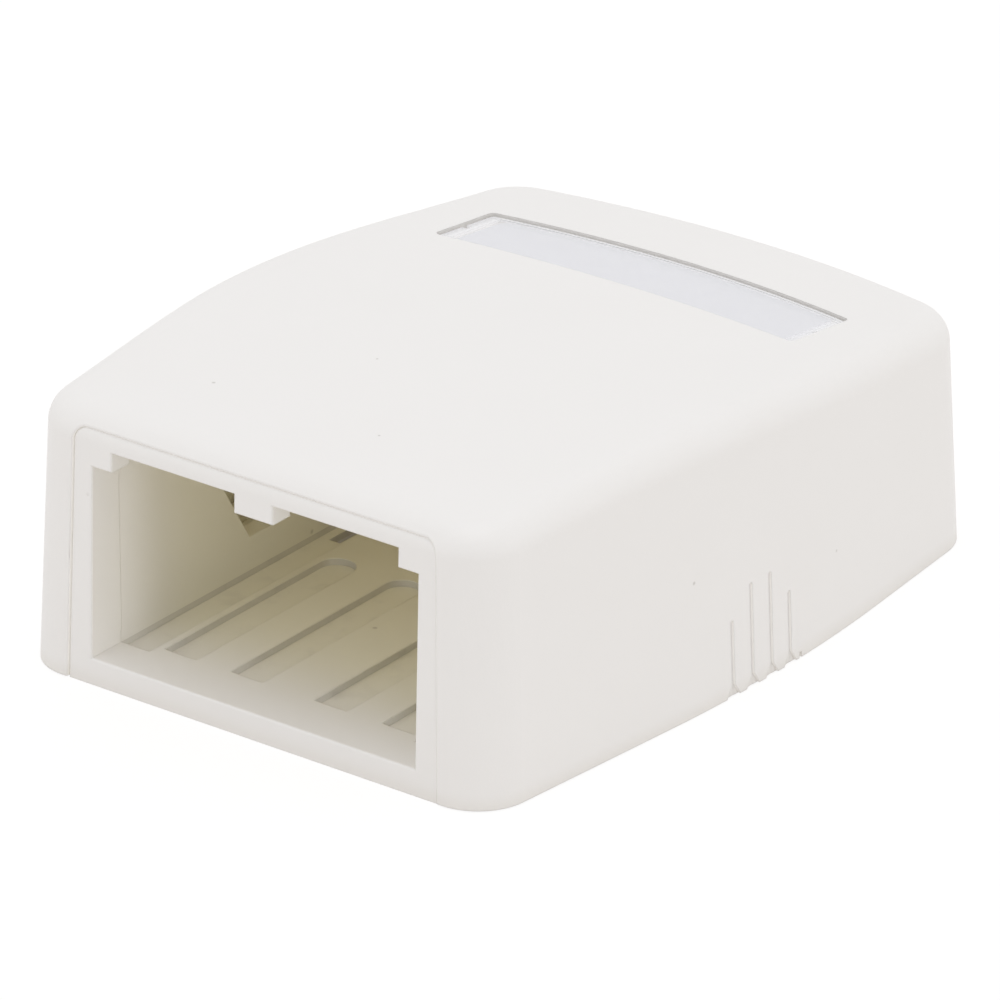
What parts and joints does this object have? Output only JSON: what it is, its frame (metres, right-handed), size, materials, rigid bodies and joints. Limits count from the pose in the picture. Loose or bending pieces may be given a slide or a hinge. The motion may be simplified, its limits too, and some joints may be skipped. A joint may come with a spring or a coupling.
{
  "type": "surface mount jack box",
  "caption": "Small wall box that holds snap-in data jacks at an open front frame, with a lift-off cover, a windowed label and adhesive pads under its base.",
  "frame": {"origin": "middle of the footprint on the mounting surface", "axes": "+Z away from the mounting surface, -Y towards the open jack frame, X the direction of mirror symmetry"},
  "size_m": [0.0508, 0.0664, 0.0233],
  "materials": {
    "base_plastic": "off-white moulded ABS, fine satin",
    "cover_plastic": "off-white moulded ABS, fine satin",
    "label_paper": "blank bluish white card",
    "window_plastic": "clear moulded plastic",
    "pad_foam": "white closed-cell foam tape",
    "liner_paper": "waxed release paper"
  },
  "bodies": {
    "tray": {"base": "base_plastic", "foam_pad_front": "pad_foam", "foam_pad_rear": "pad_foam", "pad_liner_front": "liner_paper", "pad_liner_rear": "liner_paper"},
    "cover": {"cover": "cover_plastic", "label_card": "label_paper"},
    "window": {"label_window": "window_plastic"}
  },
  "joints": [
    {"name": "cover_lift", "type": "slide", "parent": "tray", "child": "cover", "axis": [0, 0, 1], "range_m": [0, 0.03]},
    {"name": "window_lift", "type": "slide", "parent": "cover", "child": "window", "axis": [0, 0, 1], "range_m": [0, 0.006]}
  ]
}
